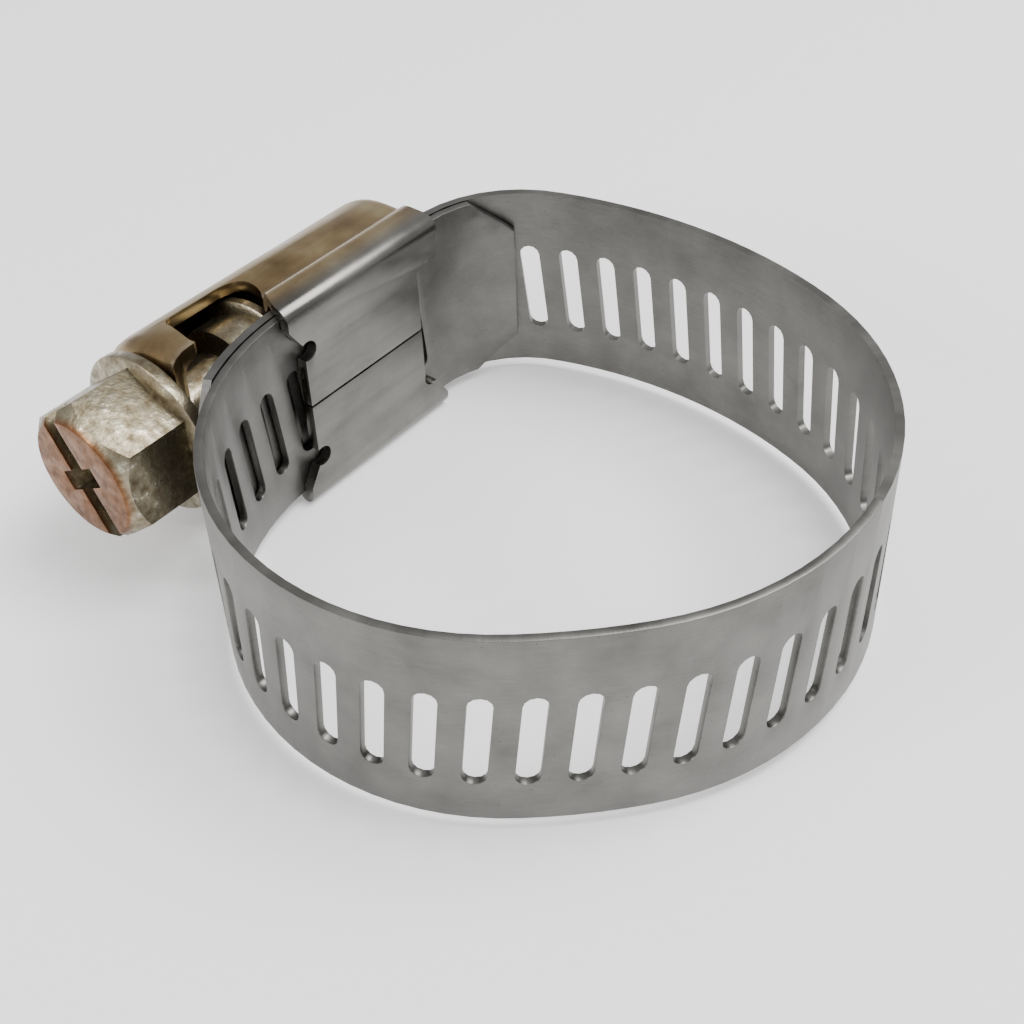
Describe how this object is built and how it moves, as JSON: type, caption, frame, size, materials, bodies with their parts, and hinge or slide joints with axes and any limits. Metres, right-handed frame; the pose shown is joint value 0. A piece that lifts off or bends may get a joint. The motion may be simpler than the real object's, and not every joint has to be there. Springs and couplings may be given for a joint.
{
  "type": "hose clamp",
  "caption": "Worm-drive hose clamp: a perforated steel band, a folded housing and a hex-headed screw that draws the band tight round a hose.",
  "frame": {"origin": "centre of the round hose seat, halfway up the band", "axes": "+Z along the hose; +Y from the hose's centre to the screw housing; the screw lies along X with its head at -X"},
  "size_m": [0.037, 0.0449, 0.0142],
  "materials": {
    "band_steel": "rolled stainless strip, satin, with fine lengthwise grain",
    "housing_steel": "pressed stainless sheet, bright, warm tinted",
    "screw_steel": "turned and rolled plated steel, slightly mottled"
  },
  "bodies": {
    "housing": {"housing": "housing_steel", "band_fixed_end": "band_steel", "band_loop": "band_steel"},
    "worm_screw": {"worm_screw": "screw_steel"},
    "band_free_end": {"band_free_end": "band_steel"},
    "band_tail": {"band_tail": "band_steel"}
  },
  "joints": [
    {"name": "screw_turn", "type": "hinge", "parent": "housing", "child": "worm_screw", "pos_m": [0, 0.02245, 0], "axis": [1, 0, 0], "range_deg": [0, 360]},
    {"name": "band_pull", "type": "slide", "parent": "housing", "child": "band_free_end", "axis": [-1, 0, 0], "range_m": [0, 0.00254], "deforming": ["band_loop"]},
    {"name": "tail_curl", "type": "hinge", "parent": "band_free_end", "child": "band_tail", "pos_m": [-0.00301, 0.0183, 0], "axis": [0, 0, 1], "range_deg": [0, 10]}
  ],
  "couplings": [
    {"joint": "band_pull", "follows": "screw_turn", "m_per_rad": 0.00040425},
    {"joint": "tail_curl", "follows": "screw_turn", "ratio": 0.02777}
  ]
}
